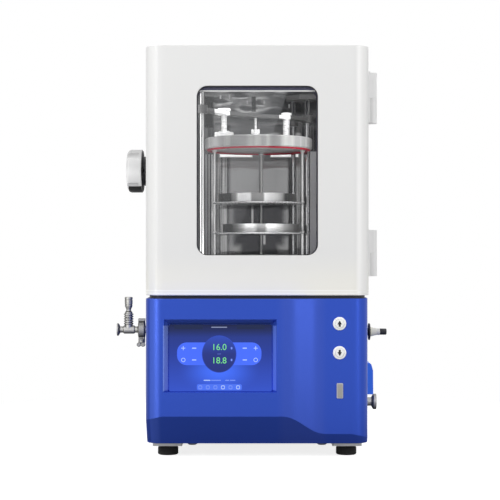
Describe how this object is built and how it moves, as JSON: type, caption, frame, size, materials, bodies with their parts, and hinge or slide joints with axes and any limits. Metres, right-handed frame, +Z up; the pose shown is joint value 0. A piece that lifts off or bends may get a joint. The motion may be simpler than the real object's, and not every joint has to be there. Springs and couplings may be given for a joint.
{
  "type": "freeze dryer",
  "caption": "Bench freeze dryer with a cold trap in its base and a windowed front-door cabinet whose motor lift lowers the lid and tray rack.",
  "frame": {"origin": "on the standing surface under the middle of the overall box", "axes": "+Z up, the door and screen face -Y, the door hinges are at +X"},
  "size_m": [0.646, 0.592, 0.9275],
  "materials": {
    "blue_enamel": "satin",
    "white_enamel": "satin",
    "grey_enamel": "satin",
    "pan_grey": "satin",
    "dark_enamel": "satin",
    "stainless": "polished",
    "aluminium": "cast",
    "frosted_acrylic": "frosted",
    "window": "polished",
    "screen_glass": "gloss",
    "red_rubber": "matt",
    "black_rubber": "matt",
    "black_plastic": "matt",
    "grey_plastic": "satin",
    "white_plastic": "gloss"
  },
  "bodies": {
    "machine": {"base_front_cover": "blue_enamel", "base_side_left": "blue_enamel", "base_side_right": "blue_enamel", "base_back_panel": "blue_enamel", "base_floor_pan": "pan_grey", "foot_front_left": "black_rubber", "foot_front_right": "black_rubber", "foot_back_left": "black_rubber", "foot_back_right": "black_rubber", "top_deck": "black_plastic", "chamber_well": "stainless", "compressor": "dark_enamel", "condenser": "aluminium", "lift_motor": "dark_enamel", "guide_column_left": "stainless", "guide_column_right": "stainless", "cabinet_shell": "white_enamel", "cabinet_liner": "stainless", "hinge_upper_body": "grey_enamel", "hinge_lower_body": "grey_enamel", "latch_spindle": "stainless", "display": "screen_glass", "up_bezel": "white_plastic", "down_bezel": "white_plastic", "port_cover": "grey_plastic", "side_nozzle": "stainless", "valve_body": "stainless", "flange_clamp": "aluminium", "drain_body": "black_plastic", "side_hood": "blue_enamel", "pump_port": "stainless", "power_inlet": "black_plastic"},
    "door": {"door_shell": "white_enamel", "window_glass": "window", "door_liner": "black_plastic", "door_gasket": "black_rubber", "hinge_upper_door": "grey_enamel", "hinge_lower_door": "grey_enamel", "latch_striker": "stainless"},
    "latch": {"latch_cam": "black_plastic", "latch_knob": "grey_plastic"},
    "lift": {"lift_bridge": "stainless", "lid_plate": "frosted_acrylic", "lid_seal": "red_rubber", "left_post": "stainless", "centre_post": "stainless", "right_post": "stainless", "tray_rack": "stainless", "tray_upper": "stainless", "tray_middle": "stainless", "tray_lower": "stainless"},
    "left_knob": {"left_post_knob": "stainless"},
    "right_knob": {"right_post_knob": "stainless"},
    "screw": {"lift_screw": "stainless"},
    "fan": {"fan_rotor": "black_plastic"},
    "up_key": {"up_button": "white_plastic"},
    "down_key": {"down_button": "white_plastic"},
    "valve": {"valve_handle": "stainless"},
    "wing_nut": {"clamp_nut": "aluminium"},
    "cap": {"drain_cap": "black_plastic"}
  },
  "joints": [
    {"name": "door_hinge", "type": "hinge", "parent": "machine", "child": "door", "pos_m": [0.2775, -0.192, 0.6465], "axis": [0, 0, 1], "range_deg": [0, 130]},
    {"name": "latch_turn", "type": "hinge", "parent": "machine", "child": "latch", "pos_m": [-0.2525, -0.135, 0.6525], "axis": [1, 0, 0], "range_deg": [0, 90]},
    {"name": "lift", "type": "slide", "parent": "machine", "child": "lift", "axis": [0, 0, -1], "range_m": [0, 0.3285]},
    {"name": "screw_turn", "type": "hinge", "parent": "machine", "child": "screw", "pos_m": [0.106, 0.137, 0.5965], "axis": [0, 0, 1], "continuous": true},
    {"name": "left_knob_turn", "type": "hinge", "parent": "lift", "child": "left_knob", "pos_m": [-0.067, -0.04, 0.8065], "axis": [0, 0, 1], "continuous": true},
    {"name": "right_knob_turn", "type": "hinge", "parent": "lift", "child": "right_knob", "pos_m": [0.086, 0.06, 0.8065], "axis": [0, 0, 1], "continuous": true},
    {"name": "fan_spin", "type": "hinge", "parent": "machine", "child": "fan", "pos_m": [0.177, 0.27, 0.1365], "axis": [0, 1, 0], "continuous": true},
    {"name": "up_press", "type": "slide", "parent": "machine", "child": "up_key", "axis": [0, 1, 0], "range_m": [0, 0.003], "stiffness_N_per_m": 600, "springref_m": -0.002},
    {"name": "down_press", "type": "slide", "parent": "machine", "child": "down_key", "axis": [0, 1, 0], "range_m": [0, 0.003], "stiffness_N_per_m": 600, "springref_m": -0.002},
    {"name": "valve_turn", "type": "hinge", "parent": "machine", "child": "valve", "pos_m": [-0.2955, -0.053, 0.3365], "axis": [0, 0, 1], "range_deg": [0, 1080]},
    {"name": "wing_nut_turn", "type": "hinge", "parent": "machine", "child": "wing_nut", "pos_m": [-0.264, -0.075, 0.2515], "axis": [0, 1, 0], "continuous": true},
    {"name": "cap_turn", "type": "hinge", "parent": "machine", "child": "cap", "pos_m": [0.312, -0.053, 0.2725], "axis": [1, 0, 0], "continuous": true}
  ],
  "couplings": [
    {"joint": "screw_turn", "follows": "lift", "rad_per_m": 314.16}
  ]
}
